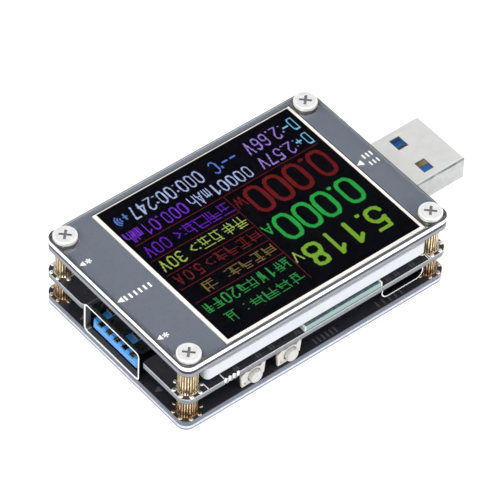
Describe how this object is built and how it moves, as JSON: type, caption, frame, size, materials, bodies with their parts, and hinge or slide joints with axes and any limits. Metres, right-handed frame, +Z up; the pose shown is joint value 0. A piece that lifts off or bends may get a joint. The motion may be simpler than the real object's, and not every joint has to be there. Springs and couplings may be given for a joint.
{
  "type": "usb power meter",
  "caption": "In-line USB power meter: clear and black boards on knurled standoffs round a colour display, with a plug, pass-through sockets and side buttons.",
  "frame": {"origin": "centre of the base cover's underside, midway between its four screws", "axes": "+X along the length towards the plug, +Y across the width away from the buttons, +Z up through the stack towards the display"},
  "size_m": [0.0679, 0.0364, 0.0154],
  "materials": {
    "clear_acrylic": "clear, polished",
    "black_board": "satin black solder mask on glass-epoxy board",
    "brass": "straight knurled, bright",
    "screw_steel": "nickel-plated steel",
    "white_frame": "cream-white moulded plastic",
    "light_guide": "clear light guide with white film",
    "display_glass": "gloss black glass with a lit picture",
    "white_foam": "closed-cell white foam tape",
    "amber_flex": "polyimide flex circuit",
    "cream_plastic": "cream moulded nylon",
    "teal_plastic": "translucent green-blue plastic",
    "plug_steel": "satin nickel-plated steel",
    "blue_plastic": "blue moulded plastic",
    "gold_contact": "gold-plated copper alloy",
    "socket_steel": "nickel-plated steel",
    "black_plastic": "black moulded plastic",
    "button_plastic": "grey-white moulded plastic",
    "chip_plastic": "black moulded chip package with tinned leads",
    "crystal_can": "metal lid",
    "chip_resistor": "black glaze with tinned ends",
    "ferrite": "dark sintered ferrite",
    "chip_ceramic": "tan ceramic with tinned ends"
  },
  "bodies": {
    "body": {"base_cover": "clear_acrylic", "lower_board": "black_board", "lower_standoffs": "brass", "base_screws": "screw_steel", "main_board": "black_board", "upper_standoffs": "brass", "bezel_board": "black_board", "top_cover": "clear_acrylic", "top_screws": "screw_steel", "display_frame": "white_frame", "display_backlight": "light_guide", "display_panel": "display_glass", "display_pad": "white_foam", "display_flex": "amber_flex", "flex_connector": "cream_plastic", "flex_latch": "teal_plastic", "usb_plug_shell": "plug_steel", "usb_plug_insulator": "blue_plastic", "usb_plug_contacts": "gold_contact", "usb_socket_shell": "socket_steel", "usb_socket_tongue": "blue_plastic", "usb_socket_contacts": "gold_contact", "usb_c_shell": "socket_steel", "usb_c_tongue": "black_plastic", "usb_c_contacts": "gold_contact", "menu_switch_housing": "black_plastic", "menu_switch_plate": "cream_plastic", "menu_switch_dome": "screw_steel", "select_switch_housing": "black_plastic", "select_switch_plate": "cream_plastic", "select_switch_dome": "screw_steel", "microcontroller": "chip_plastic", "flash_memory": "chip_plastic", "crystal": "crystal_can", "current_shunt": "chip_resistor", "power_inductor": "ferrite", "voltage_regulator": "chip_plastic", "power_transistors": "chip_plastic", "ceramic_capacitors": "chip_ceramic", "chip_resistors": "chip_resistor"},
    "menu_button": {"menu_button": "button_plastic"},
    "select_button": {"select_button": "button_plastic"}
  },
  "joints": [
    {"name": "menu_button_press", "type": "slide", "parent": "body", "child": "menu_button", "axis": [0, 1, 0], "range_m": [0, 0.00025], "stiffness_N_per_m": 500, "springref_m": -0.0005},
    {"name": "select_button_press", "type": "slide", "parent": "body", "child": "select_button", "axis": [0, 1, 0], "range_m": [0, 0.00025], "stiffness_N_per_m": 500, "springref_m": -0.0005}
  ]
}
